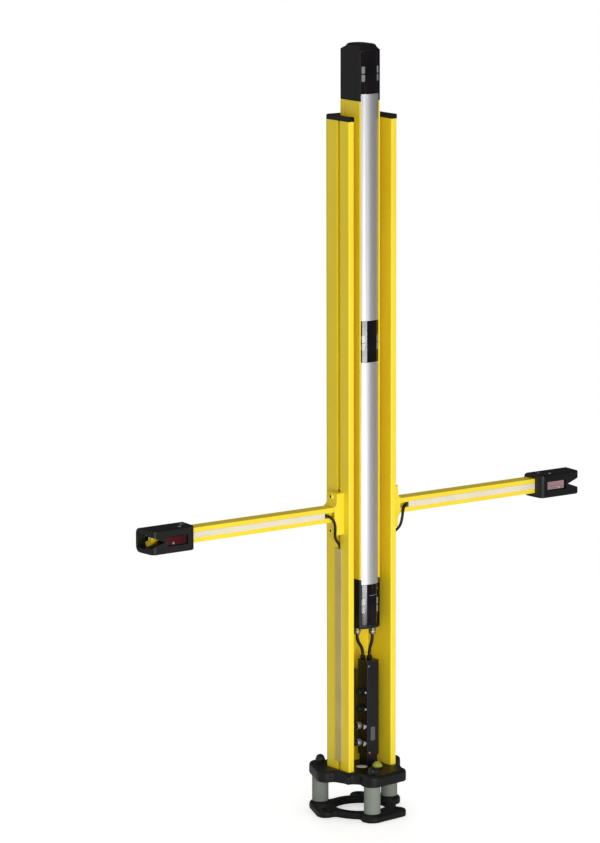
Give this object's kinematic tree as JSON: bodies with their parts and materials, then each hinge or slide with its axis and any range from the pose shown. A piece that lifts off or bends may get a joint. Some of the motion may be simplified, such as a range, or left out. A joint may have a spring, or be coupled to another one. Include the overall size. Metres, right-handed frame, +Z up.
{
  "type": "safety light-beam column with retroreflective muting sensor arms",
  "caption": "Free-standing yellow column that holds a slim multi-beam safety device, with hooded retroreflective muting sensors on side arms and a yielding floor base.",
  "frame": {"origin": "on the floor, at the centre of the base's floor bolt circle", "axes": "+Z up along the column, -Y out of the column's open front, X along the muting arms"},
  "size_m": [0.792, 0.1416, 1.17],
  "materials": {
    "yellow_coat": "yellow powder coat on extruded aluminium",
    "yellow_bracket": "glossy yellow coat on a casting",
    "black_casting": "black coat on a fine-grained casting",
    "black_nut": "semi-gloss black cap",
    "black_moulding": "fine-textured black moulding",
    "beam_window": "polished dark filter",
    "silver_cover": "satin silver",
    "elastomer": "matt grey-green elastomer",
    "slot_cover": "dull olive-grey strip",
    "arm_strip": "pale grey-cream strip",
    "red_window": "polished red filter",
    "lead_jacket": "matt black jacket",
    "zinc_steel": "zinc-plated",
    "lamp_clear": "clear over white",
    "nickel": "nickel-plated",
    "level_fluid": "clear green fluid under a dome",
    "lamp_amber": "clear amber",
    "lens_glass": "clear",
    "circuit_board": "green solder mask",
    "beam_block": "matt black"
  },
  "bodies": {
    "root": {"arm_bracket_left": "yellow_bracket", "arm_bracket_right": "yellow_bracket", "arm_bracket_screws": "yellow_bracket", "arm_lead_left": "lead_jacket", "arm_lead_right": "lead_jacket", "arm_profile_left": "yellow_coat", "arm_profile_right": "yellow_coat", "arm_slot_nuts": "zinc_steel", "arm_strip_left": "arm_strip", "arm_strip_right": "arm_strip", "base_bolts": "zinc_steel", "base_bushings": "elastomer", "base_cap_nuts": "black_nut", "base_foot_plate": "black_casting", "base_top_plate": "black_casting", "beam_block_bottom": "beam_block", "beam_block_middle": "beam_block", "beam_block_top": "beam_block", "beam_lenses": "lens_glass", "blanking_caps": "black_moulding", "bottom_window": "beam_window", "clamp_screws": "zinc_steel", "column_profile": "yellow_coat", "column_screws": "zinc_steel", "device_board": "circuit_board", "device_clamps": "black_moulding", "device_glands": "nickel", "device_lead_left": "lead_jacket", "device_lead_right": "lead_jacket", "device_profile": "yellow_coat", "foot_cap": "black_moulding", "front_cover_lower": "silver_cover", "front_cover_upper": "silver_cover", "head_cap": "black_moulding", "hood_left": "black_moulding", "hood_right": "black_moulding", "hood_screws": "zinc_steel", "level_ring": "black_moulding", "level_vial": "level_fluid", "middle_window": "beam_window", "module_bracket": "zinc_steel", "module_bracket_screws": "zinc_steel", "module_glands": "black_moulding", "module_housing": "black_moulding", "module_lamps": "lamp_clear", "module_sockets": "black_moulding", "sensor_lead_lower": "lead_jacket", "sensor_lead_upper": "lead_jacket", "sensor_left": "black_moulding", "sensor_plugs": "black_moulding", "sensor_right": "black_moulding", "sensor_window_left": "red_window", "sensor_window_right": "red_window", "slot_cover_left": "slot_cover", "slot_cover_right": "slot_cover", "status_lamp": "lamp_amber", "top_window": "beam_window", "wing_cap_left": "black_moulding", "wing_cap_right": "black_moulding"}
  },
  "joints": []
}
